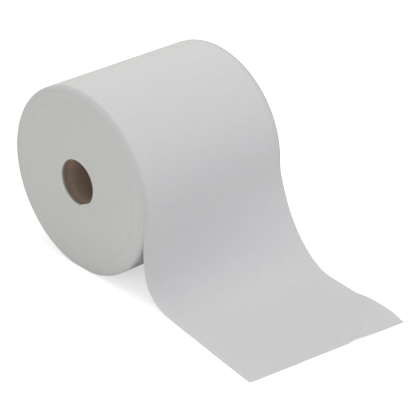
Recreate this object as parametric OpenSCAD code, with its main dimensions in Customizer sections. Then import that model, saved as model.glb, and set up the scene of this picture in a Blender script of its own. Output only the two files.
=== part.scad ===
// A roll of nonwoven cleaning cloths, lying on its side with its free end drawn out in front.
// X runs along the roll, Z is up, and the free end runs out towards -Y.
// The origin is on the axis of the cardboard core, halfway along it.

/* [Roll] */
// Outside diameter of the wound web
roll_d = 318; // [220:2:380]
// Width of the web, from one end face to the other
roll_w = 288; // [200:2:400]
// Rounding of the edge between an end face and the outside
arris_r = 6; // [3:0.5:12]
// Height that the roll's own weight takes off its underside
sag = 6; // [3:0.5:8]

/* [Core] */
// Bore of the cardboard tube
core_bore_d = 70; // [50:1:90]
// Wall of the cardboard tube
core_wall = 3; // [2:0.5:6]
// Depth of each end of the tube behind the end face of the web
core_recess = 2; // [0.5:0.5:6]
// Clearance all round between the tube and the first turn
core_gap = 0.2; // [0.1:0.05:0.4]

/* [Turns] */
// Turns that stand out on an end face
turns = 14; // [6:1:20]
// Width of the groove between two turns
groove_w = 1.4; // [0.6:0.2:2]
// Depth of the groove between two turns
groove_depth = 0.6; // [0.3:0.1:1]
// Plain ring of cloth between the core and the first groove, and outside the last
turn_margin = 5; // [3:0.5:10]

/* [Free end] */
// Thickness of the cloth
cloth_t = 0.4; // [0.3:0.05:1]
// Slack under the last turn where the free end leaves the roll
turn_slack = 0.3; // [0.2:0.05:0.6]
// Distance from the roll's front to the line where the cloth lands
tail_reach = 104; // [80:2:160]
// Length of cloth that lies flat
tail_flat = 174; // [60:2:300]
// Angle that the free end is drawn out askew
tail_yaw = 7; // [0:0.5:12]
// Sideways shift of the landing line towards -X
tail_drift = 4; // [0:1:12]
// Length over which the cloth goes on hanging straight down
tail_hang = 82; // [50:2:100]
// Length of the landing bend at the edge on the -X side
bend_near = 123; // [60:1:130]
// Length of the landing bend at the edge on the +X side
bend_far = 57; // [40:1:130]

/* [Hidden] */
$fn = 96;
roll_r = roll_d / 2;
core_height = roll_r - sag;
core_r = core_bore_d / 2 + core_wall;
web_bore_r = core_r + core_gap;
core_len = roll_w - 2 * core_recess;
turn_step = cloth_t + turn_slack;
groove_first = web_bore_r + turn_margin;
groove_last = roll_r - arris_r - turn_margin;
groove_pitch = (groove_last - groove_first) / turns;
cut_over = 0.2;
tail_steps = 28;
tail_columns = 8;
root_rise = 3;
root_bury = 0.15;
root_proud = 0.05;
tail_run = [-sin(tail_yaw), -cos(tail_yaw), 0];
tail_across = [cos(tail_yaw), -sin(tail_yaw), 0];
landing_mid = [-tail_drift, -(roll_r + tail_reach), -core_height];

// Half a turn about the X axis, above (side 1) or below (side -1) a centre shifted along Y.
// The children are drawn with the radius along X and the place along the roll along Y.
module half_turn(side, shift) {
    translate([0, shift, 0])
        rotate([0, 90, 0])
            rotate([0, 0, 90 * side])
                rotate_extrude(angle = 180)
                    children();
}

// Half section of the wound web out to radius r, with both outer edges rounded
module web_section(r) {
    translate([0, -roll_w / 2])
        square([r - arris_r, roll_w]);
    translate([0, arris_r - roll_w / 2])
        square([r, roll_w - 2 * arris_r]);
    for (end = [-1, 1])
        translate([r - arris_r, end * (roll_w / 2 - arris_r)])
            circle(arris_r);
}

// The outside is a spiral of two half turns: the lower one is drawn in by half a step
// and its centre moved by as much, so that only the front has a step, where the cloth leaves.
module wound_web() {
    half_turn(1, 0)
        web_section(roll_r);
    half_turn(-1, turn_step / 2)
        web_section(roll_r - turn_step / 2);
}

// Section of the groove at radius r in the end face on the given side
module groove_section(r, end) {
    spread = groove_w / 2 * (1 + cut_over / groove_depth);
    translate([r, end * roll_w / 2])
        polygon([[-spread, end * cut_over], [spread, end * cut_over], [0, -end * groove_depth]]);
}

// The line between the turns: a two-centre spiral that grows one pitch in a turn
module turn_grooves(end) {
    for (i = [0 : turns])
        half_turn(1, 0)
            groove_section(groove_first + i * groove_pitch, end);
    for (i = [0 : turns - 1])
        half_turn(-1, groove_pitch / 2)
            groove_section(groove_first + (i + 0.5) * groove_pitch, end);
}

function bezier(p, k) =
    pow(1 - k, 3) * p[0] + 3 * k * pow(1 - k, 2) * p[1] + 3 * k * k * (1 - k) * p[2] + pow(k, 3) * p[3];

function bezier_slope(p, k) =
    3 * pow(1 - k, 2) * (p[1] - p[0]) + 6 * k * (1 - k) * (p[2] - p[1]) + 3 * k * k * (p[3] - p[2]);

function landing(u) = landing_mid + u * roll_w / 2 * tail_across;

function bend(u) = bend_near + (bend_far - bend_near) * (u + 1) / 2;

// Path of the cloth's underside across the gap, at u from -1 (the -X edge) to 1 (the +X edge)
function drop_path(u) = [
    [u * (roll_w / 2 - arris_r), cloth_t - roll_r - root_proud, 0],
    [u * roll_w / 2, cloth_t - roll_r - root_proud, -tail_hang],
    landing(u) - bend(u) * tail_run,
    landing(u)
];

function unit(v) = v / norm(v);

// Outward direction of the cloth, from its slopes along the drop and across the web
function drop_normal(u, k) =
    let (across = bezier(drop_path(1), k) - bezier(drop_path(-1), k))
    unit(cross(bezier_slope(drop_path(u), k), across));

function column_u(j) = 2 * j / tail_columns - 1;

// Rows of points across the web, each as [underside, upper side]
function root_row() = [
    for (j = [0 : tail_columns])
        let (x = column_u(j) * (roll_w / 2 - arris_r))
        [
            [x, cloth_t + root_bury - roll_r, root_rise],
            [x, root_bury - roll_r, root_rise]
        ]
];

function drop_row(k) = [
    for (j = [0 : tail_columns])
        let (u = column_u(j), p = bezier(drop_path(u), k))
        [p, p + cloth_t * drop_normal(u, k)]
];

function end_row() = [
    for (j = [0 : tail_columns])
        let (p = landing(column_u(j)) + tail_flat * tail_run)
        [p, p + [0, 0, cloth_t]]
];

// The free end: it starts inside the last turn, hangs, bends and lies flat
module free_end() {
    rows = concat([root_row()], [for (i = [0 : tail_steps]) drop_row(i / tail_steps)], [end_row()]);
    last = len(rows) - 1;
    wide = tail_columns + 1;
    count = len(rows) * wide;
    points = concat(
        [for (row = rows) for (pair = row) pair[0]],
        [for (row = rows) for (pair = row) pair[1]]
    );
    function at(i, j) = i * wide + j;
    under = [
        for (i = [0 : last - 1]) for (j = [0 : tail_columns - 1])
            each [[at(i, j), at(i, j + 1), at(i + 1, j + 1)], [at(i, j), at(i + 1, j + 1), at(i + 1, j)]]
    ];
    upper = [for (f = under) [count + f[0], count + f[2], count + f[1]]];
    sides = [
        for (i = [0 : last - 1])
            each [
                [at(i, 0), at(i + 1, 0), count + at(i + 1, 0)],
                [at(i, 0), count + at(i + 1, 0), count + at(i, 0)],
                [at(i, tail_columns), count + at(i + 1, tail_columns), at(i + 1, tail_columns)],
                [at(i, tail_columns), count + at(i, tail_columns), count + at(i + 1, tail_columns)]
            ]
    ];
    ends = [
        for (j = [0 : tail_columns - 1])
            each [
                [at(0, j), count + at(0, j), count + at(0, j + 1)],
                [at(0, j), count + at(0, j + 1), at(0, j + 1)],
                [at(last, j), count + at(last, j + 1), count + at(last, j)],
                [at(last, j), at(last, j + 1), count + at(last, j + 1)]
            ]
    ];
    polyhedron(points, concat(under, upper, sides, ends));
}

// Cardboard tube that the web is wound on
module core() {
    color("rosybrown")
        difference() {
            rotate([0, 90, 0])
                cylinder(r = core_r, h = core_len, center = true);
            rotate([0, 90, 0])
                cylinder(d = core_bore_d, h = core_len + 2 * cut_over, center = true);
        }
}

// Wound web and its free end, in one piece
module cloth() {
    color("gainsboro") {
        difference() {
            wound_web();
            rotate([0, 90, 0])
                cylinder(r = web_bore_r, h = roll_w + 2 * cut_over, center = true);
            translate([-roll_w / 2 - cut_over, -roll_r, -roll_r - cut_over])
                cube([roll_w + 2 * cut_over, roll_d, sag + cut_over]);
            turn_grooves(-1);
            turn_grooves(1);
        }
        free_end();
    }
}

core();
cloth();
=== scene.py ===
"""Wide roll of nonwoven cleaning cloth on a cardboard core, with its free end drawn out."""

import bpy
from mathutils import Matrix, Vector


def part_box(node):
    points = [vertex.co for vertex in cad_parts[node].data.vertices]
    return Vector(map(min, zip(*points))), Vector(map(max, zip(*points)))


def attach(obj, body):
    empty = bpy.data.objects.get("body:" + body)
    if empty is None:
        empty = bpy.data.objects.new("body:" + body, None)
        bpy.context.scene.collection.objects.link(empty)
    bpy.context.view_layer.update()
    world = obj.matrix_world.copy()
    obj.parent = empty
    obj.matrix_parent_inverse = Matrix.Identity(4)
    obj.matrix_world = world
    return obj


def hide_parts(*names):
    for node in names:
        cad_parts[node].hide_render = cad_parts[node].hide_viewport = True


bl_info = {
    "name": "Cleaning Cloth Roll",
    "version": (1, 0, 0),
    "blender": (4, 5, 0),
    "location": "View3D > Sidebar > Cloth Roll",
    "description": "Wide roll of nonwoven cleaning cloth on a cardboard core, with its free end drawn out",
    "category": "Add Mesh",
}

import math

import bmesh
import bpy
from bpy.props import FloatProperty, FloatVectorProperty, IntProperty, PointerProperty
from mathutils import Vector, noise

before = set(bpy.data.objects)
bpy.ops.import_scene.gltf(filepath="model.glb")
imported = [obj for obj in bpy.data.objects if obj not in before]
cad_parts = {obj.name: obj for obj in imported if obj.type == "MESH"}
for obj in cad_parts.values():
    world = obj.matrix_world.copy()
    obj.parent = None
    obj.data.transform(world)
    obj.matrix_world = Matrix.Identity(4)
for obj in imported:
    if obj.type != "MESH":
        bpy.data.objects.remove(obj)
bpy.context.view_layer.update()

# The packed part gives the sizes that the pieces here have to keep
CORE_LOW, CORE_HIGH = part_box("core")
CLOTH_LOW, CLOTH_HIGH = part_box("cloth")
WHOLE_TURN = 2 * math.pi

# Points closer than the first distance are one point, edges shorter than the second are none
MERGE_DISTANCE = 2e-6
NO_LENGTH = 1e-7

# The layer that holds the change of the shading, the cosine past which a face looks inwards,
# and the change below which the shading is left alone
SOFTNESS = "softness"
INNER_SIDE = -0.6
SLIGHT_CHANGE = 1e-4

# Share of white that the camera sees on the floor besides its own light
FLOOR_GLOW = 0.55


def linear(hex_colour):
    """An sRGB hex colour as the linear numbers that the shaders take."""
    channels = [int(hex_colour[i : i + 2], 16) / 255 for i in (1, 3, 5)]
    return tuple(c / 12.92 if c <= 0.04045 else ((c + 0.055) / 1.055) ** 2.4 for c in channels)


def length_property(name, description, default, low=0.0, high=2.0):
    return FloatProperty(
        name=name,
        description=description,
        default=default,
        min=low,
        max=high,
        precision=5,
        subtype="DISTANCE",
        unit="LENGTH",
    )


def angle_property(name, description, degrees):
    return FloatProperty(
        name=name,
        description=description,
        default=math.radians(degrees),
        subtype="ANGLE",
        unit="ROTATION",
    )


def power_property(name, description, watts):
    return FloatProperty(name=name, description=description, default=watts, min=0.0)


def colour_property(name, description, hex_colour):
    return FloatVectorProperty(
        name=name,
        description=description,
        default=linear(hex_colour),
        min=0.0,
        max=1.0,
        size=3,
        subtype="COLOR",
    )


class CoreSettings(bpy.types.PropertyGroup):
    """Sizes of the spiral-wound cardboard core"""

    radius: length_property("Radius", "Outside radius of the tube", CORE_HIGH.y)
    half_length: length_property("Half length", "Half of the tube's length", CORE_HIGH.x + 0.0018)
    wall: length_property("Wall", "Thickness of the board", 0.003)
    flare: length_property("Flare", "How far the ends of the bore are pressed open", 0.0008)
    flare_length: length_property("Flare length", "Depth to which they are pressed open", 0.004)
    # Painted shade: the board is drawn darker over this length at each end of the tube, in place of the
    # shade just inside the mouth of the bore
    end_shade_length: length_property("Painted end shade", "Length of bore that has darkened behind each sawn end", 0.01)
    lead: length_property("Ply lead", "Advance of the inner ply in one turn", 0.112)
    seam: length_property("Seam", "Width of the gap between two turns of the inner ply", 0.0016)
    seam_depth: length_property("Seam depth", "Depth of that gap", 0.00035)
    ragged: length_property("Ragged cut", "How far the sawn ends stray from a clean cut", 0.0005)
    facets: IntProperty(name="Facets", description="Faces round the tube", default=112, min=16, max=256)


class RollSettings(bpy.types.PropertyGroup):
    """Sizes of the wound roll"""

    radius: length_property("Radius", "Half of the roll's depth, over its last turn", CLOTH_HIGH.y)
    half_width: length_property("Half width", "Half of the web's width", CLOTH_HIGH.x + 0.0016)
    top: length_property("Top", "Height of the roll's top above the core's axis", 0.15525)
    bottom: length_property("Bottom", "Depth of the underside if it weren't pressed flat", 0.15453)
    lean: length_property("Lean", "How much fuller the underside is in front than behind", 0.00211)
    press: length_property("Press", "Softness of the turn into the flat underside", 0.0003)
    arris: length_property("Arris", "Rounding of the edge round each end face", 0.0055)
    shoulder: length_property("Shoulder", "Width of the soft slope on either side of that edge", 0.008)
    outside_drop: length_property("Outside drop", "How far the outside slopes down to the edge", 0.0003)
    face_drop: length_property("Face drop", "How far the end face slopes back to the edge", 0.0004)
    soak: length_property("Soak", "How far light soaks into the cloth on either side of that edge", 0.0125)
    core_gap: length_property("Core gap", "Clearance between the web and the core", 0.00015)
    core_slack: length_property("Core slack", "More clearance in front of the core and behind it", 0.0008)
    turn_pitch: length_property("Turn pitch", "Distance between turns that stand out", 0.0024)
    turn_relief: length_property("Turn relief", "Depth of the line between two such turns", 0.00028)
    unevenness: length_property("Unevenness", "How far the end faces stray from flat", 0.0008)
    facets: IntProperty(name="Facets", description="Faces round the roll", default=160, min=32, max=360)


class ClothSettings(bpy.types.PropertyGroup):
    """Sizes of the last turn and the free end"""

    thickness: length_property("Thickness", "Thickness of the cloth", 0.0004)
    slack: length_property("Slack", "Air between two turns of cloth", 0.00005)
    near_hang: length_property("Near hang", "Length that hangs straight at the -X edge", 0.078)
    near_bend: length_property("Near bend", "Length of the landing bend at the -X edge", 0.1078)
    near_land_x: length_property("Near landing X", "Where the -X edge lands", -0.1481, -1.0)
    near_land_y: length_property("Near landing Y", "Where the -X edge lands", -0.2283, -1.0)
    near_end_x: length_property("Near corner X", "Corner at the -X edge", -0.1786, -1.0)
    near_end_y: length_property("Near corner Y", "Corner at the -X edge", -0.4252, -1.0)
    far_hang: length_property("Far hang", "Length that hangs straight at the +X edge", 0.0772)
    far_bend: length_property("Far bend", "Length of the landing bend at the +X edge", 0.0594)
    far_land_x: length_property("Far landing X", "Where the +X edge lands", 0.1279, -1.0)
    far_land_y: length_property("Far landing Y", "Where the +X edge lands", -0.2904, -1.0)
    far_end_x: length_property("Far corner X", "Corner at the +X edge", 0.1099, -1.0)
    far_end_y: length_property("Far corner Y", "Corner at the +X edge", -0.4615, -1.0)
    fold_place: length_property("Fold place", "Start of the fold on the cut end", 0.0525, -1.0)
    fold_reach: length_property("Fold reach", "Distance from the +X corner to the fold's crest", 0.049)
    fold_height: length_property("Fold height", "Height of the fold on the cut end", 0.0041)
    fold_rise: length_property("Fold rise", "How much higher the fold is at the +X edge", 0.0014)
    end_lift: length_property("End lift", "How far the middle of the cut end stands off the floor", 0.0008)
    curl_height: length_property("Curl height", "Height of the curled -X corner", 0.001)
    ripple: length_property("Ripple", "Height of the slight waves in the free end", 0.0007)


class FinishSettings(bpy.types.PropertyGroup):
    """Colours of the finishes"""

    cloth: colour_property("Cloth", "Nonwoven, seen flat", "#E0E0E0")
    cut_edges: colour_property("Cut edges", "Nonwoven, seen on its cut edges", "#E2E2DE")
    board: colour_property("Board", "Grey-brown core board", "#B7A391")
    floor: colour_property("Floor", "Pale floor", "#F4F4F4")


class StageSettings(bpy.types.PropertyGroup):
    """Camera, lamps and floor"""

    azimuth: angle_property("Azimuth", "Where the camera stands, round the roll", -42.618)
    elevation: angle_property("Elevation", "How high the camera stands", 27.392)
    distance: length_property("Distance", "From the camera to the point it looks at", 2.7325, 0.1, 20.0)
    aim_x: length_property("Aim X", "Point that the camera looks at", -0.00012, -1.0)
    aim_y: length_property("Aim Y", "Point that the camera looks at", -0.14733, -1.0)
    aim_z: length_property("Aim Z", "Point that the camera looks at", -0.04284, -1.0)
    lens: FloatProperty(name="Lens", description="Focal length in mm", default=149.828, min=10.0, max=400.0)
    key_power: power_property("Key", "Overhead soft box, in watts", 20.0)
    front_power: power_property("Front", "Soft box in front, in watts", 10.6)
    side_power: power_property("Side", "Soft box at the -X side, in watts", 3.3)
    back_power: power_property("Back", "Soft box behind, in watts", 12.5)
    ambient: FloatProperty(
        name="Ambient", description="Strength of the pale surroundings", default=0.39, min=0.0
    )
    floor_size: length_property("Floor size", "Length of the floor's sides", 12.0, 1.0, 50.0)


GROUPS = {
    "cloth_roll_core": CoreSettings,
    "cloth_roll_web": RollSettings,
    "cloth_roll_cloth": ClothSettings,
    "cloth_roll_finish": FinishSettings,
    "cloth_roll_stage": StageSettings,
}


def clamp(value, low=0.0, high=1.0):
    return max(low, min(high, value))


def ease(value, low, high):
    """0 below low, 1 above high, and a smooth rise between them."""
    t = clamp((value - low) / (high - low))
    return t * t * (3 - 2 * t)


def mix(a, b, share):
    return a + (b - a) * share


def hump(distance, width):
    """1 at no distance, falling softly to 0 over about twice the width."""
    return math.exp(-((distance / width) ** 2))


def add_node(tree, kind, settings=None, links=None):
    """Adds a shader node. settings name its options or its sockets, links name its sockets."""
    node = tree.nodes.new(kind)
    for name, value in (settings or {}).items():
        if isinstance(name, int) or name in node.inputs:
            node.inputs[name].default_value = value
        else:
            setattr(node, name, value)
    for socket, source in (links or {}).items():
        tree.links.new(source, node.inputs[socket])
    return node


def seen_directly(tree):
    """1 for rays from the camera, by way of mirrors and glass too, and 0 for light on the object."""
    rays = add_node(tree, "ShaderNodeLightPath")
    seen = add_node(
        tree,
        "ShaderNodeMath",
        {"operation": "MAXIMUM"},
        {0: rays.outputs["Is Camera Ray"], 1: rays.outputs["Is Glossy Ray"]},
    )
    shown = add_node(
        tree,
        "ShaderNodeMath",
        {"operation": "MAXIMUM"},
        {0: seen.outputs["Value"], 1: rays.outputs["Is Transmission Ray"]},
    )
    return shown.outputs["Value"]


def new_material(name):
    """A material with an empty node tree, and that tree."""
    material = bpy.data.materials.new(name)
    material.use_nodes = True
    material.node_tree.nodes.clear()
    return material, material.node_tree


def finish_material(tree, colour, level, height, bump, shading):
    """Scales a colour by a level, lays a relief over it, and sends it to the material's output."""
    scaled = add_node(
        tree, "ShaderNodeVectorMath", {"operation": "SCALE", 0: colour}, {"Scale": level}
    )
    relief = add_node(tree, "ShaderNodeBump", bump, {"Height": height})
    shader = add_node(
        tree,
        "ShaderNodeBsdfPrincipled",
        shading,
        {"Base Color": scaled.outputs["Vector"], "Normal": relief.outputs["Normal"]},
    )
    add_node(tree, "ShaderNodeOutputMaterial", None, {"Surface": shader.outputs["BSDF"]})


def soften(mesh):
    """Turns the shading at each corner by the vector in its point's layer. Light soaks through
    several turns of cloth, so a roll's shading turns softly round an edge that is tight in itself."""
    changes = [tuple(value.vector) for value in mesh.attributes[SOFTNESS].data]
    unchanged = (0.0, 0.0, 0.0)
    normals = []
    for face in mesh.polygons:
        radial = Vector((0.0, face.center.y, face.center.z)).normalized()
        inner_side = face.normal.dot(radial) < INNER_SIDE
        for corner in face.loop_indices:
            change = Vector(changes[mesh.loops[corner].vertex_index])
            if inner_side or change.length < SLIGHT_CHANGE:
                normals.append(unchanged)
            else:
                normals.append((mesh.corner_normals[corner].vector + change).normalized())
    mesh.normals_split_custom_set(normals)
    mesh.attributes.remove(mesh.attributes[SOFTNESS])


def finish_piece(name, mesh_data, material, node):
    """Turns a bmesh into a piece that rides on the part and stands for its CAD node."""
    mesh = bpy.data.meshes.new(name)
    mesh_data.to_mesh(mesh)
    mesh_data.free()
    mesh.materials.append(material)
    if SOFTNESS in mesh.attributes:
        soften(mesh)
    piece = bpy.data.objects.new(name, mesh)
    bpy.context.scene.collection.objects.link(piece)
    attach(piece, "root")
    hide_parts(node)
    return piece


def spin_section(row_count, facets):
    """A closed section of that many points, turned once about X and left open where it meets itself.
    Each point keeps its row in the layer "row", and the rings follow each other in the list."""
    bm = bmesh.new()
    row = bm.verts.layers.int.new("row")
    points = []
    for i in range(row_count):
        point = bm.verts.new((i / row_count, 0.0, 1.0))
        point[row] = i
        points.append(point)
    edges = [bm.edges.new((points[i], points[(i + 1) % row_count])) for i in range(row_count)]
    bmesh.ops.spin(
        bm,
        geom=points + edges,
        axis=(1, 0, 0),
        cent=(0, 0, 0),
        dvec=(0, 0, 0),
        angle=WHOLE_TURN,
        steps=facets,
        use_merge=False,
        use_duplicate=False,
    )
    bm.verts.index_update()
    return bm, row


def close_shape(bm):
    """Joins what meets and turns every face outwards."""
    bmesh.ops.remove_doubles(bm, verts=bm.verts, dist=MERGE_DISTANCE)
    bmesh.ops.dissolve_degenerate(bm, edges=bm.edges, dist=NO_LENGTH)
    bmesh.ops.recalc_face_normals(bm, faces=bm.faces)


def smooth_but_sharp(bm, degrees):
    """Shades the faces smooth, apart from edges that turn by more than an angle."""
    limit = math.radians(degrees)
    for face in bm.faces:
        face.smooth = True
    for edge in bm.edges:
        edge.smooth = len(edge.link_faces) == 2 and edge.calc_face_angle(0.0) < limit


def outline_point(roll, angle):
    """The roll's outside seen along its axis, at an angle from its front upwards."""
    height = roll.top if math.sin(angle) > 0 else roll.bottom + roll.lean * math.cos(angle)
    above_floor = height * math.sin(angle) - CLOTH_LOW.z
    ratio = above_floor / roll.press
    # Further up the press has no effect, and the exponent would grow without need
    clear_of_floor = 30
    if ratio < clear_of_floor:
        above_floor = roll.press * math.log1p(math.exp(ratio))
    return -roll.radius * math.cos(angle), CLOTH_LOW.z + above_floor


def web_point(roll, x, reach, angle):
    """A point of the web: round near the core, and as oval as the outside further out."""
    y, z = outline_point(roll, angle)
    inner = CORE_HIGH.y
    share = clamp((reach - inner) / (roll.radius - inner)) ** 2
    round_y = -math.cos(angle)
    round_z = math.sin(angle)
    return Vector(
        (
            x,
            reach * mix(round_y, y / roll.radius, share),
            reach * mix(round_z, z / roll.radius, share),
        )
    )


class SoftEdge:
    """The edge between the outside and an end face: a slope, a tight rounding and a slope."""

    # How much later than evenly the shading turns on its way over the edge
    delay = 1.6
    # Plain cloth between the evenly spaced columns and the soft shading
    margin = 0.0015

    def __init__(self, roll):
        self.arris = roll.arris
        self.shoulder = roll.shoulder
        self.outside_drop = roll.outside_drop
        self.face_drop = roll.face_drop
        self.first = math.atan(2 * roll.outside_drop / roll.shoulder)
        self.last = math.pi / 2 - math.atan(2 * roll.face_drop / roll.shoulder)
        across = roll.arris * (math.sin(self.last) - math.sin(self.first))
        self.bend_start = roll.half_width - roll.face_drop - across
        self.bend_end = self.bend_start + roll.arris * (self.last - self.first)
        self.depth = roll.outside_drop + roll.arris * (math.cos(self.first) - math.cos(self.last))
        self.soak = roll.soak
        self.half_width = roll.half_width
        self.middle = roll.half_width - roll.soak - self.margin

    def wrap(self, across):
        """Place along the roll and depth below the outside of a point measured across the cloth."""
        side = abs(across)
        place = min(side, self.bend_start)
        slope = clamp((side - self.bend_start) / self.shoulder + 1)
        depth = self.outside_drop * slope**2
        if side > self.bend_start:
            turned = self.first + (side - self.bend_start) / self.arris
            place += self.arris * (math.sin(turned) - math.sin(self.first))
            depth += self.arris * (math.cos(self.first) - math.cos(turned))
        return math.copysign(place, across), depth

    def recess(self, to_rim):
        """How far the end face lies back at a distance from where the rounding ends."""
        return self.face_drop * clamp(1 - to_rim / self.shoulder) ** 2

    def outside_softness(self, angle, across):
        """Change of the shading on the outside and the rounding, at an angle round the roll."""
        bent = clamp((abs(across) - self.bend_start) / (self.bend_end - self.bend_start))
        from_edge = mix(self.half_width - min(abs(across), self.bend_start), -self.arris, bent)
        return self.softness(angle, math.copysign(1, across), from_edge, bent)

    def face_softness(self, angle, side, to_rim):
        """Change of the shading on an end face."""
        return self.softness(angle, side, -to_rim - self.arris, 1.0)

    def softness(self, angle, side, from_edge, bent):
        """Change from the direction of the shape, bent by a share of a right angle, to that of its
        soft shading at a distance from the edge, which counts up over the outside."""
        shaded = (1 - clamp(0.5 + from_edge / self.soak / 2) ** self.delay) * math.pi / 2
        shape = bent * math.pi / 2
        sideways = (math.sin(shaded) - math.sin(shape)) * side
        outwards = math.cos(shaded) - math.cos(shape)
        return Vector((sideways, -math.cos(angle) * outwards, math.sin(angle) * outwards))


# Angles round the roll: how far above its front the last turn starts, the run over which that
# turn comes out from under the web's end, and the run over which the web closes behind it
TUCK = math.radians(8)
TUCK_RUN = math.radians(60)
TUCK_END = math.radians(6)


def tuck_depth(angle):
    """How deep, in turns of cloth, the web dips in front to take in the start of the last turn."""
    from_front = (angle + math.pi) % WHOLE_TURN - math.pi
    closed = ease(from_front, TUCK, TUCK + TUCK_END)
    return ease(from_front, TUCK - TUCK_RUN, TUCK) * (1 - closed)


def cloth_material(finish):
    """Spunlaced viscose and polyester nonwoven, bonded by rows of water jets: dead matt and nearly
    white, with a cloudy lay of fibres and faint streaks along the web."""
    material, tree = new_material("spunlaced_nonwoven")
    flat = add_node(tree, "ShaderNodeUVMap", {"uv_map": "flat_cut"})
    # Clouds of fibre about 16 mm across
    clouds = add_node(
        tree,
        "ShaderNodeTexNoise",
        {"noise_dimensions": "2D", "Scale": 62.0, "Detail": 3.0, "Roughness": 0.6},
        {"Vector": flat.outputs["UV"]},
    )
    # Single fibres are 0.02 mm, so they are drawn as 1.4 mm flecks, drawn out along the web
    stretch = add_node(
        tree, "ShaderNodeMapping", {"Scale": (1.0, 0.45, 1.0)}, {"Vector": flat.outputs["UV"]}
    )
    flecks = add_node(
        tree,
        "ShaderNodeTexNoise",
        {"noise_dimensions": "2D", "Scale": 720.0, "Detail": 2.0, "Roughness": 0.7},
        {"Vector": stretch.outputs["Vector"]},
    )
    # The jets leave a streak every 0.6 mm, drawn here every 2.4 mm
    jets = add_node(
        tree,
        "ShaderNodeTexWave",
        {
            "wave_type": "BANDS",
            "bands_direction": "X",
            "Scale": WHOLE_TURN / (20 * 0.0024),
            "Distortion": 1.2,
            "Detail": 1.0,
            "Detail Scale": 0.12,
        },
        {"Vector": flat.outputs["UV"]},
    )
    tone = add_node(
        tree,
        "ShaderNodeMath",
        {"operation": "MULTIPLY_ADD", 1: 0.55},
        {0: clouds.outputs["Fac"], 2: flecks.outputs["Fac"]},
    )
    level = add_node(
        tree,
        "ShaderNodeMapRange",
        {"From Min": 0.45, "From Max": 1.1, "To Min": 0.965, "To Max": 1.02},
        {"Value": tone.outputs["Value"]},
    )
    relief = add_node(
        tree,
        "ShaderNodeMath",
        {"operation": "MULTIPLY_ADD", 1: 0.35},
        {0: jets.outputs["Fac"], 2: flecks.outputs["Fac"]},
    )
    finish_material(
        tree,
        finish.cloth,
        level.outputs["Result"],
        relief.outputs["Value"],
        {"Strength": 0.55, "Distance": 0.00012},
        {
            "Roughness": 0.92,
            "IOR": 1.45,
            "Specular IOR Level": 0.2,
            "Sheen Weight": 0.06,
            "Sheen Roughness": 0.6,
        },
    )
    return material


def cut_edge_material(finish):
    """The same nonwoven slit to width: its cut edges, turn on turn, look like felt with fine rings,
    and sink a little light, so an end face is duller than the outside."""
    material, tree = new_material("slit_nonwoven_edges")
    place = add_node(tree, "ShaderNodeTexCoord")
    # Turns are 0.4 mm apart, drawn here every 1.6 mm
    rings = add_node(
        tree,
        "ShaderNodeTexWave",
        {
            "wave_type": "RINGS",
            "rings_direction": "X",
            "Scale": WHOLE_TURN / (20 * 0.0016),
            "Distortion": 1.6,
            "Detail": 1.0,
            "Detail Scale": 0.1,
        },
        {"Vector": place.outputs["Object"]},
    )
    flatten = add_node(
        tree,
        "ShaderNodeVectorMath",
        {"operation": "MULTIPLY", 1: (0.0, 1.0, 1.0)},
        {0: place.outputs["Object"]},
    )
    reach = add_node(tree, "ShaderNodeVectorMath", {"operation": "LENGTH"}, {0: flatten.outputs["Vector"]})
    # Bands of tighter and looser winding, some 9 mm wide
    bands = add_node(
        tree,
        "ShaderNodeTexNoise",
        {"noise_dimensions": "1D", "Scale": 110.0, "Detail": 2.0, "Roughness": 0.6},
        {"W": reach.outputs["Value"]},
    )
    fuzz = add_node(
        tree,
        "ShaderNodeTexNoise",
        {"Scale": 650.0, "Detail": 2.0, "Roughness": 0.7},
        {"Vector": place.outputs["Object"]},
    )
    tone = add_node(
        tree,
        "ShaderNodeMath",
        {"operation": "MULTIPLY_ADD", 1: 0.5},
        {0: bands.outputs["Fac"], 2: fuzz.outputs["Fac"]},
    )
    level = add_node(
        tree,
        "ShaderNodeMapRange",
        {"From Min": 0.45, "From Max": 1.05, "To Min": 0.96, "To Max": 1.02},
        {"Value": tone.outputs["Value"]},
    )
    relief = add_node(
        tree,
        "ShaderNodeMath",
        {"operation": "MULTIPLY_ADD", 1: 0.6},
        {0: rings.outputs["Fac"], 2: fuzz.outputs["Fac"]},
    )
    finish_material(
        tree,
        finish.cut_edges,
        level.outputs["Result"],
        relief.outputs["Value"],
        {"Strength": 0.6, "Distance": 0.00015},
        {
            "Roughness": 0.95,
            "IOR": 1.45,
            "Specular IOR Level": 0.15,
            "Sheen Weight": 0.05,
            "Sheen Roughness": 0.6,
        },
    )
    return material


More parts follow.
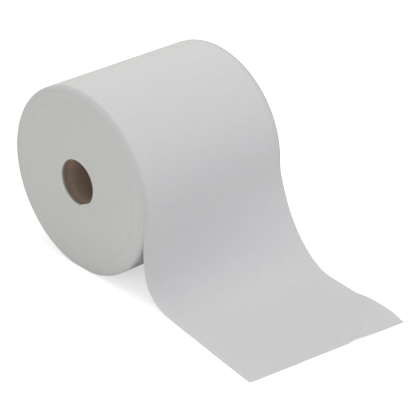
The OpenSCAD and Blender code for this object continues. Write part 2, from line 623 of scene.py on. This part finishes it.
def board_material(finish, core):
    """Recycled core board, wound in a spiral and glued: matt grey-brown with dark and pale specks,
    fibres that lie along the winding, and painted shade that darkens the board near each end of the tube."""
    material, tree = new_material("spiral_wound_board")
    place = add_node(tree, "ShaderNodeTexCoord")
    # Specks of 0.3 to 1 mm, drawn about 2 mm across so that they show
    specks = add_node(
        tree,
        "ShaderNodeTexNoise",
        {"Scale": 480.0, "Detail": 3.0, "Roughness": 0.75},
        {"Vector": place.outputs["Object"]},
    )
    along = add_node(
        tree,
        "ShaderNodeMapping",
        {"Scale": (1.0, 0.25, 0.25)},
        {"Vector": place.outputs["Object"]},
    )
    # Ropes of fibre some 5 mm wide, stretched round the tube
    fibres = add_node(
        tree,
        "ShaderNodeTexNoise",
        {"Scale": 200.0, "Detail": 2.0, "Roughness": 0.6},
        {"Vector": along.outputs["Vector"]},
    )
    tone = add_node(
        tree,
        "ShaderNodeMath",
        {"operation": "ADD"},
        {0: specks.outputs["Fac"], 1: fibres.outputs["Fac"]},
    )
    level = add_node(
        tree,
        "ShaderNodeMapRange",
        {"From Min": 0.7, "From Max": 1.3, "To Min": 0.86, "To Max": 1.1},
        {"Value": tone.outputs["Value"]},
    )
    along_tube = add_node(tree, "ShaderNodeSeparateXYZ", None, {"Vector": place.outputs["Object"]})
    from_middle = add_node(
        tree, "ShaderNodeMath", {"operation": "ABSOLUTE"}, {0: along_tube.outputs["X"]}
    )
    # Painted shade: the board's colour falls to half over the last stretch at each end, on the bore, the
    # outside and the sawn ends alike
    end_shade = add_node(
        tree,
        "ShaderNodeMapRange",
        {
            "From Min": core.half_length - core.end_shade_length,
            "From Max": core.half_length,
            "To Min": 1.0,
            "To Max": 0.5,
        },
        {"Value": from_middle.outputs["Value"]},
    )
    end_shaded = add_node(
        tree,
        "ShaderNodeMath",
        {"operation": "MULTIPLY"},
        {0: level.outputs["Result"], 1: end_shade.outputs["Result"]},
    )
    finish_material(
        tree,
        finish.board,
        end_shaded.outputs["Value"],
        tone.outputs["Value"],
        {"Strength": 0.5, "Distance": 0.0001},
        {"Roughness": 0.85, "IOR": 1.5, "Specular IOR Level": 0.3},
    )
    return material


def floor_material(finish):
    """Seamless studio paper: matt white. The camera also sees a glow on it, so that it reads as
    white around the object and still keeps the object's shadow."""
    material, tree = new_material("studio_paper")
    paper = add_node(tree, "ShaderNodeBsdfDiffuse", {"Color": (*finish.floor, 1.0), "Roughness": 1.0})
    strength = add_node(
        tree, "ShaderNodeMath", {"operation": "MULTIPLY", 1: FLOOR_GLOW}, {0: seen_directly(tree)}
    )
    glow = add_node(
        tree, "ShaderNodeEmission", {"Color": (1, 1, 1, 1)}, {"Strength": strength.outputs["Value"]}
    )
    both = add_node(
        tree, "ShaderNodeAddShader", None, {0: paper.outputs["BSDF"], 1: glow.outputs["Emission"]}
    )
    add_node(tree, "ShaderNodeOutputMaterial", None, {"Surface": both.outputs["Shader"]})
    return material


class CLOTHROLL_OT_camera(bpy.types.Operator):
    """Sets up the camera at the photograph's angle"""

    bl_idname = "cloth_roll.camera"
    bl_label = "Camera"

    def execute(self, context):
        stage = context.scene.cloth_roll_stage
        back = Vector(
            (
                math.sin(stage.azimuth) * math.cos(stage.elevation),
                -math.cos(stage.azimuth) * math.cos(stage.elevation),
                math.sin(stage.elevation),
            )
        )
        lens = bpy.data.cameras.new("camera")
        lens.lens = stage.lens
        lens.sensor_width = 36.0
        lens.clip_start = 0.05
        lens.clip_end = 50.0
        camera = bpy.data.objects.new("camera", lens)
        context.scene.collection.objects.link(camera)
        camera.location = Vector((stage.aim_x, stage.aim_y, stage.aim_z)) + back * stage.distance
        camera.rotation_mode = "QUATERNION"
        camera.rotation_quaternion = (-back).to_track_quat("-Z", "Y")
        context.scene.camera = camera
        return {"FINISHED"}


class CLOTHROLL_OT_core(bpy.types.Operator):
    """Builds the cardboard tube, with the spiral seam of its inner ply and its sawn ends"""

    bl_idname = "cloth_roll.core"
    bl_label = "Core tube"

    # Depth that the saw leaves ragged, and how often the cut strays, round the tube and along it
    saw_depth = 0.0015
    stray_round = 3
    stray_along = 40

    def execute(self, context):
        core = context.scene.cloth_roll_core
        rows = self.section(core)
        bm, row_layer = spin_section(len(rows), core.facets)
        for point in bm.verts:
            ring = point.index // len(rows)
            point.co = self.point(core, rows[point[row_layer]], ring / core.facets)
        close_shape(bm)
        smooth_but_sharp(bm, 35)
        board = board_material(context.scene.cloth_roll_finish, core)
        finish_piece("core_tube", bm, board, "core")
        return {"FINISHED"}

    def section(self, core):
        """Rows of the tube's section: along the bore and back along the outside. The middle rows of
        the bore follow the seam of its ply, which lies one lead further on after each turn."""
        ramp = core.seam / 4
        half_seam = core.seam / 2
        beside_seam = [-half_seam - ramp, -half_seam, half_seam, half_seam + ramp]
        places = beside_seam + [core.lead * k / 8 for k in range(1, 8)]
        turns = math.ceil(2 * core.half_length / core.lead)
        followed = [
            ("seam", turn * core.lead + place) for turn in range(-1, turns + 1) for place in places
        ]
        edge = [core.half_length - core.flare_length * k / 6 for k in range(7)]
        start = [("bore", -x) for x in edge]
        finish = [("bore", x) for x in reversed(edge)]
        outside = [("outside", core.half_length * (1 - k / 3)) for k in range(7)]
        return start + followed + finish + [("end", 1)] + outside + [("end", -1)]

    def point(self, core, row, turn):
        """Where a row's point lies after a share of a whole turn."""
        kind, value = row
        angle = turn * WHOLE_TURN
        if kind in ("seam", "bore"):
            x = value
            if kind == "seam":
                limit = core.half_length - core.flare_length
                x = clamp(value + core.lead * turn - core.half_length, -limit, limit)
            reach = self.bore_radius(core, x, turn)
        elif kind == "end":
            x = value * core.half_length
            reach = core.radius - (core.wall - core.flare) / 2
        else:
            x = value
            reach = core.radius
        around = Vector((math.cos(angle), math.sin(angle), 0.0)) * self.stray_round
        stray = noise.noise(Vector((around.x, around.y, x * self.stray_along)))
        at_end = ease(abs(x), core.half_length - self.saw_depth, core.half_length)
        x -= math.copysign(core.ragged * at_end * abs(stray), x)
        return Vector((x, -reach * math.cos(angle), reach * math.sin(angle)))

    def bore_radius(self, core, x, turn):
        """Radius of the bore, which opens at both ends and is deeper along the seam."""
        flare = clamp(1 - (core.half_length - abs(x)) / core.flare_length)
        along = (x + core.half_length - core.lead * turn) % core.lead
        from_seam = min(along, core.lead - along)
        groove = 1 - ease(from_seam, core.seam / 2, core.seam * 0.75)
        return core.radius - core.wall + core.flare * flare**2 + core.seam_depth * groove


class CLOTHROLL_OT_wound_roll(bpy.types.Operator):
    """Builds the wound web under the last turn, with the spiral of its turns on both end faces"""

    bl_idname = "cloth_roll.wound_roll"
    bl_label = "Wound roll"

    # Share of the relief at each row of a turn
    groove = (0.0, 0.3, 1.0, 0.3)
    rows_in_a_turn = len(groove)
    lip_thickness = 0.0006
    # On each side, the direction in which the first turns sag flat over the tube, and half its width
    flats = {-1: (math.radians(-63), math.radians(22)), 1: (math.radians(160), math.radians(13))}
    # Width over which the relief fades out at the hole and at the rim
    fade_width = 0.002
    # How often the turns, the face and the hole stray, and how far the hole does
    turn_stray = 0.73
    face_stray = 16
    hole_stray = 2.6
    hole_unevenness = 0.0004

    def execute(self, context):
        scene = context.scene
        roll = scene.cloth_roll_web
        cloth = scene.cloth_roll_cloth
        edge = SoftEdge(roll)
        rows = self.section(roll, edge)
        bm, row_layer = spin_section(len(rows), roll.facets)
        softness = bm.verts.layers.float_vector.new(SOFTNESS)
        for point in bm.verts:
            ring = point.index // len(rows)
            row = rows[point[row_layer]]
            point.co, point[softness] = self.point(roll, cloth, edge, row, ring / roll.facets)
        close_shape(bm)
        smooth_but_sharp(bm, 50)
        finish_piece("wound_roll", bm, cut_edge_material(scene.cloth_roll_finish), "cloth")
        return {"FINISHED"}

    def section(self, roll, edge):
        """Rows of the web's section: one end face, the outside, the other end face, the bore."""
        inner = CORE_HIGH.y + roll.core_gap
        step = roll.turn_pitch / self.rows_in_a_turn
        count = math.ceil((roll.radius - edge.depth - inner) / step)
        face = range(-self.rows_in_a_turn, count + 1)
        slope = [mix(edge.middle, edge.bend_start, k / 5) for k in range(5)]
        bend = [mix(edge.bend_start, edge.bend_end, k / 8) for k in range(8)]
        rim = slope + bend
        straight = [mix(-edge.middle, edge.middle, k / 8) for k in range(1, 8)]
        rows = [("bore", -1, 0), ("lip", -1, 0)]
        rows += [("face", -1, i) for i in face]
        rows += [("outside", -1, -x) for x in reversed(rim)]
        rows += [("outside", 1, x) for x in straight]
        rows += [("outside", 1, x) for x in rim]
        rows += [("face", 1, i) for i in reversed(face)]
        rows += [("lip", 1, 0), ("bore", 1, 0)]
        return rows

    def point(self, roll, cloth, edge, row, turn):
        """Where a row's point lies after a share of a whole turn, and how its shading is softened."""
        kind, side, value = row
        angle = turn * WHOLE_TURN
        ply = cloth.thickness + cloth.slack
        outer = roll.radius - ply * (1 + tuck_depth(angle))
        if kind == "outside":
            x, depth = edge.wrap(value)
            return web_point(roll, x, outer - depth, angle), edge.outside_softness(angle, value)
        bore = CORE_HIGH.y + roll.core_gap + roll.core_slack * math.cos(angle) ** 2
        hole = self.hole_radius(bore, side, angle)
        if kind in ("bore", "lip"):
            x = side * (roll.half_width - self.lip_thickness)
            reach = bore if kind == "bore" else hole
            return web_point(roll, x, reach, angle), Vector()
        rim = outer - edge.depth
        turns = value / self.rows_in_a_turn + turn
        reach = clamp(CORE_HIGH.y + roll.core_gap + turns * roll.turn_pitch, hole, rim)
        fade = ease(reach, bore, bore + self.fade_width)
        fade *= 1 - ease(reach, rim - self.fade_width, rim)
        # Some lines between turns are deeper than others
        looseness = 0.55 + 0.45 * noise.noise(Vector((turns * self.turn_stray, 3.0, side * 5.0)))
        depth = self.groove[value % self.rows_in_a_turn] * roll.turn_relief * looseness
        place = web_point(roll, 0.0, reach, angle)
        spot = place * self.face_stray
        swell = noise.noise(Vector((side * 4.0, spot.y, spot.z)))
        depth += roll.unevenness * (0.5 + 0.5 * swell)
        place.x = side * (roll.half_width - depth * fade - edge.recess(rim - reach))
        return place, edge.face_softness(angle, side, rim - reach)

    def hole_radius(self, bore, side, angle):
        """Radius of the hole in an end face: a little uneven, and flat where the first turns sag."""
        middle, half = self.flats[side]
        off = (angle - middle + math.pi) % WHOLE_TURN - math.pi
        around = Vector((math.cos(angle), math.sin(angle), 0.0)) * self.hole_stray
        uneven = noise.noise(Vector((around.x, around.y, side * 2.0)))
        radius = bore - self.hole_unevenness * abs(uneven)
        if abs(off) < half:
            radius = min(radius, bore * math.cos(half) / math.cos(off))
        return radius


class CLOTHROLL_OT_free_cloth(bpy.types.Operator):
    """Winds a flat sheet once round the roll, and lets its free end hang, bend and lie flat"""

    bl_idname = "cloth_roll.free_cloth"
    bl_label = "Last turn and free end"

    turn_steps = 184
    drop_steps = 52
    flat_steps = 64
    # Fall below the roll's front over which the sheet gives up the roll's rounded edges
    unwrap_fall = 0.06
    # Waves in a metre, across and along, and their shares of the height
    slow_waves = (9, 7)
    quick_waves = (24, 18)
    wave_level = 0.9
    slow_share = 0.75
    quick_share = 0.3
    # Where across the cloth the cut end starts to lift and comes down again, and how far in it lifts
    lift_starts = (-0.07, -0.04)
    lift_ends = (0.05, 0.07)
    lift_depth = (0.005, 0.05)
    curl_width = 0.017
    # The fold: half its width on the cut end and how that grows, how square its back is and how
    # that grows, the softness of its foot, its length, and how far it runs out behind its start
    fold_width = 0.009
    fold_spread = 0.33
    fold_squareness = 1.3
    fold_squaring = 17.0
    fold_foot = 0.15
    fold_length = 0.1
    fold_run_out = 0.03

    def execute(self, context):
        scene = context.scene
        roll = scene.cloth_roll_web
        cloth = scene.cloth_roll_cloth
        edge = SoftEdge(roll)
        across = self.columns(roll, edge)
        stations = self.stations()
        travel = self.measure(roll, cloth, edge, stations)
        bm = bmesh.new()
        bmesh.ops.create_grid(
            bm,
            x_segments=len(across) - 1,
            y_segments=len(stations) - 1,
            size=1.0,
            calc_uvs=False,
        )
        cut = bm.verts.layers.float_vector.new("flat_cut")
        softness = bm.verts.layers.float_vector.new(SOFTNESS)
        for point in bm.verts:
            i = round((point.co.x + 1) / 2 * (len(across) - 1))
            j = round((point.co.y + 1) / 2 * (len(stations) - 1))
            point[cut] = (across[i], travel[j], 0.0)
            point.co = self.surface(roll, cloth, edge, across[i], stations[j])
            point[softness] = self.softness(edge, across[i], stations[j], point.co.z)
        lying = max(bm.faces, key=lambda face: -face.calc_center_median().y)
        lying.normal_update()
        if lying.normal.z < 0:
            bmesh.ops.reverse_faces(bm, faces=bm.faces)
        bmesh.ops.solidify(bm, geom=bm.faces, thickness=cloth.thickness)
        uv = bm.loops.layers.uv.new("flat_cut")
        for face in bm.faces:
            for corner in face.loops:
                corner[uv].uv = corner.vert[cut][:2]
        smooth_but_sharp(bm, 50)
        nonwoven = cloth_material(scene.cloth_roll_finish)
        piece = finish_piece("free_cloth", bm, nonwoven, "cloth")
        return {"FINISHED"}

    def columns(self, roll, edge):
        """Places across the cloth, closer together where it rounds the arris."""
        inside = [mix(-edge.middle, edge.middle, k / 44) for k in range(45)]
        slope = [mix(edge.middle, edge.bend_start, k / 5) for k in range(1, 5)]
        rim = slope + [mix(edge.bend_start, roll.half_width, k / 6) for k in range(7)]
        return [-x for x in reversed(rim)] + inside + rim

    def stations(self):
        """Places along the cloth: on the last turn, on the drop, and on the floor."""
        turn = [("turn", k / self.turn_steps) for k in range(self.turn_steps)]
        drop = [("drop", k / self.drop_steps) for k in range(self.drop_steps)]
        flat = [("flat", k / self.flat_steps) for k in range(self.flat_steps + 1)]
        return turn + drop + flat

    def measure(self, roll, cloth, edge, stations):
        """Distance along the middle of the cloth to each station."""
        middle = [self.surface(roll, cloth, edge, 0.0, station) for station in stations]
        travel = [0.0]
        for a, b in zip(middle, middle[1:]):
            travel.append(travel[-1] + (b - a).length)
        return travel

    def softness(self, edge, x, station, height):
        """Change of the shading near the edges of the last turn, fading out below the front."""
        kind, share = station
        if kind == "flat":
            return Vector()
        if kind == "turn":
            return edge.outside_softness(TUCK - share * (WHOLE_TURN + TUCK), x)
        return edge.outside_softness(0.0, x) * self.wrapped_share(height)

    def wrapped_share(self, height):
        """How much of the roll's rounded edges the sheet keeps at a height on its way down."""
        return 1 - ease(-height, 0.0, self.unwrap_fall)

    def surface(self, roll, cloth, edge, x, station):
        """The cloth's outer surface at a place across it and a station along it."""
        kind, share = station
        wrapped, depth = edge.wrap(x)
        if kind == "turn":
            wound = share * (WHOLE_TURN + TUCK)
            ply = cloth.thickness + cloth.slack
            depth += ply * (1 - ease(wound, 0.0, TUCK_RUN))
            return web_point(roll, wrapped, roll.radius - depth, TUCK - wound)
        side = (x / roll.half_width + 1) / 2
        lying = CLOTH_LOW.z + cloth.thickness
        land_x = mix(cloth.near_land_x, cloth.far_land_x, side)
        land_y = mix(cloth.near_land_y, cloth.far_land_y, side)
        land = Vector((land_x, land_y, lying))
        end_x = mix(cloth.near_end_x, cloth.far_end_x, side)
        end_y = mix(cloth.near_end_y, cloth.far_end_y, side)
        end = Vector((end_x, end_y, lying))
        if kind == "drop":
            point = self.drop(roll, cloth, x, side, land, (end - land).normalized(), share)
            kept = self.wrapped_share(point.z)
            point.x += (wrapped - x) * kept
            point.y += depth * kept
            to_end = (end - land).length + (land - point).length
        else:
            point = land.lerp(end, share)
            to_end = (end - point).length
        point.z += self.lift(roll, cloth, x, to_end, share, kind)
        return point

    def drop(self, roll, cloth, x, side, land, run, share):
        """The fall from the roll's front to the landing line, as one smooth curve."""
        top = Vector((x, -roll.radius, 0.0))
        below = top - Vector((0.0, 0.0, mix(cloth.near_hang, cloth.far_hang, side)))
        before = land - run * mix(cloth.near_bend, cloth.far_bend, side)
        rest = 1 - share
        return (
            top * rest**3
            + below * (3 * rest * rest * share)
            + before * (3 * rest * share * share)
            + land * share**3
        )

    def lift(self, roll, cloth, x, to_end, share, kind):
        """Height of the waves, the soft fold, the lifted end and the curled corner."""
        grown = 1.0 if kind == "flat" else ease(share, 0.15, 1.0)
        slow = noise.noise(Vector((x * self.slow_waves[0], to_end * self.slow_waves[1], 2.5)))
        quick = noise.noise(Vector((x * self.quick_waves[0], to_end * self.quick_waves[1], 8.0)))
        waves = self.wave_level + self.slow_share * slow + self.quick_share * quick
        lift = cloth.ripple * grown * waves
        if kind == "flat":
            lift += self.fold(roll, cloth, x, to_end)
            middle = ease(x, *self.lift_starts) * (1 - ease(x, *self.lift_ends))
            lift += cloth.end_lift * middle * (1 - ease(to_end, *self.lift_depth))
            corner = math.hypot(x + roll.half_width, to_end)
            lift += cloth.curl_height * hump(corner, self.curl_width)
        return max(lift, 0.0)

    def fold(self, roll, cloth, x, to_end):
        """Height of the fold that crosses the +X corner: sharp on the cut end, broad at the side."""
        start = Vector((cloth.fold_place, 0.0))
        crest = Vector((roll.half_width, cloth.fold_reach)) - start
        crest.normalize()
        off = Vector((x, to_end)) - start
        along = off.dot(crest)
        aside = off.x * crest.y - off.y * crest.x
        outward = max(along, 0.0)
        width = self.fold_width + self.fold_spread * outward
        squareness = self.fold_squareness + self.fold_squaring * outward
        height = cloth.fold_height + cloth.fold_rise * clamp(along / self.fold_length)
        height *= 1 - ease(-along, 0.0, self.fold_run_out)
        bulge = max(1 - abs(aside / width) ** squareness, 0.0)
        return height * (1 + self.fold_foot) * bulge * bulge / (bulge + self.fold_foot)


class CLOTHROLL_OT_stage(bpy.types.Operator):
    """Lays the pale floor and sets up the soft lamps and the pale surroundings"""

    bl_idname = "cloth_roll.stage"
    bl_label = "Floor and lamps"

    # Place, length of the sides and colour of each soft box, and the point that all of them face
    soft_boxes = {
        "key": ((0.0, -0.1, 2.3), 2.0, "#FFFFFB"),
        "front": ((0.9, -1.8, 1.3), 1.8, "#FAFBFF"),
        "side": ((-1.7, -0.45, 0.35), 1.0, "#FCFDFF"),
        "back": ((0.2, 2.3, 1.3), 1.8, "#FFFFE6"),
    }
    lit_point = Vector((0.0, -0.12, -0.05))

    def execute(self, context):
        scene = context.scene
        stage = scene.cloth_roll_stage
        self.floor(scene, stage)
        for name, (place, size, hex_colour) in self.soft_boxes.items():
            power = getattr(stage, name + "_power")
            self.lamp(scene, name + "_lamp", place, size, power, hex_colour)
        self.surroundings(scene, stage)
        scene.view_settings.view_transform = "Standard"
        return {"FINISHED"}

    def floor(self, scene, stage):
        bm = bmesh.new()
        bmesh.ops.create_grid(bm, x_segments=1, y_segments=1, size=stage.floor_size / 2)
        bmesh.ops.translate(bm, verts=bm.verts, vec=(0.0, 0.0, CLOTH_LOW.z))
        mesh = bpy.data.meshes.new("floor")
        bm.to_mesh(mesh)
        bm.free()
        mesh.materials.append(floor_material(scene.cloth_roll_finish))
        floor = bpy.data.objects.new("floor", mesh)
        scene.collection.objects.link(floor)

    def lamp(self, scene, name, place, size, power, hex_colour):
        """A square soft box that faces the roll."""
        light = bpy.data.lights.new(name, "AREA")
        light.shape = "SQUARE"
        light.size = size
        light.energy = power
        light.color = linear(hex_colour)
        lamp = bpy.data.objects.new(name, light)
        scene.collection.objects.link(lamp)
        lamp.location = place
        aim = self.lit_point - Vector(place)
        lamp.rotation_mode = "QUATERNION"
        lamp.rotation_quaternion = aim.to_track_quat("-Z", "Y")

    def surroundings(self, scene, stage):
        """White where the camera sees them, and a plain pale light otherwise."""
        world = bpy.data.worlds.new("pale_studio")
        world.use_nodes = True
        tree = world.node_tree
        tree.nodes.clear()
        paper_white = (*linear("#FAFAFF"), 1.0)
        pale = add_node(
            tree, "ShaderNodeBackground", {"Color": paper_white, "Strength": stage.ambient}
        )
        white = add_node(tree, "ShaderNodeBackground", {"Color": (1, 1, 1, 1), "Strength": 1.0})
        either = add_node(
            tree,
            "ShaderNodeMixShader",
            None,
            {0: seen_directly(tree), 1: pale.outputs["Background"], 2: white.outputs["Background"]},
        )
        add_node(tree, "ShaderNodeOutputWorld", None, {"Surface": either.outputs["Shader"]})
        scene.world = world


OPERATORS = (
    CLOTHROLL_OT_camera,
    CLOTHROLL_OT_core,
    CLOTHROLL_OT_wound_roll,
    CLOTHROLL_OT_free_cloth,
    CLOTHROLL_OT_stage,
)


class CLOTHROLL_PT_panel(bpy.types.Panel):
    """Lists the roll's settings and the buttons that build it"""

    bl_idname = "CLOTHROLL_PT_panel"
    bl_label = "Cloth Roll"
    bl_space_type = "VIEW_3D"
    bl_region_type = "UI"
    bl_category = "Cloth Roll"

    def draw(self, context):
        for operator in OPERATORS:
            self.layout.operator(operator.bl_idname)
        for name, group in GROUPS.items():
            box = self.layout.box()
            box.label(text=group.__doc__)
            for key in group.__annotations__:
                box.prop(getattr(context.scene, name), key)


def register():
    for group in GROUPS.values():
        bpy.utils.register_class(group)
    for name, group in GROUPS.items():
        setattr(bpy.types.Scene, name, PointerProperty(type=group))
    for operator in OPERATORS:
        bpy.utils.register_class(operator)
    bpy.utils.register_class(CLOTHROLL_PT_panel)


def unregister():
    bpy.utils.unregister_class(CLOTHROLL_PT_panel)
    for operator in reversed(OPERATORS):
        bpy.utils.unregister_class(operator)
    for name in GROUPS:
        delattr(bpy.types.Scene, name)
    for group in reversed(list(GROUPS.values())):
        bpy.utils.unregister_class(group)


def main():
    register()
    bpy.ops.cloth_roll.camera()
    bpy.ops.cloth_roll.core()
    bpy.ops.cloth_roll.wound_roll()
    bpy.ops.cloth_roll.free_cloth()
    bpy.ops.cloth_roll.stage()


if __name__ == "__main__":
    main()
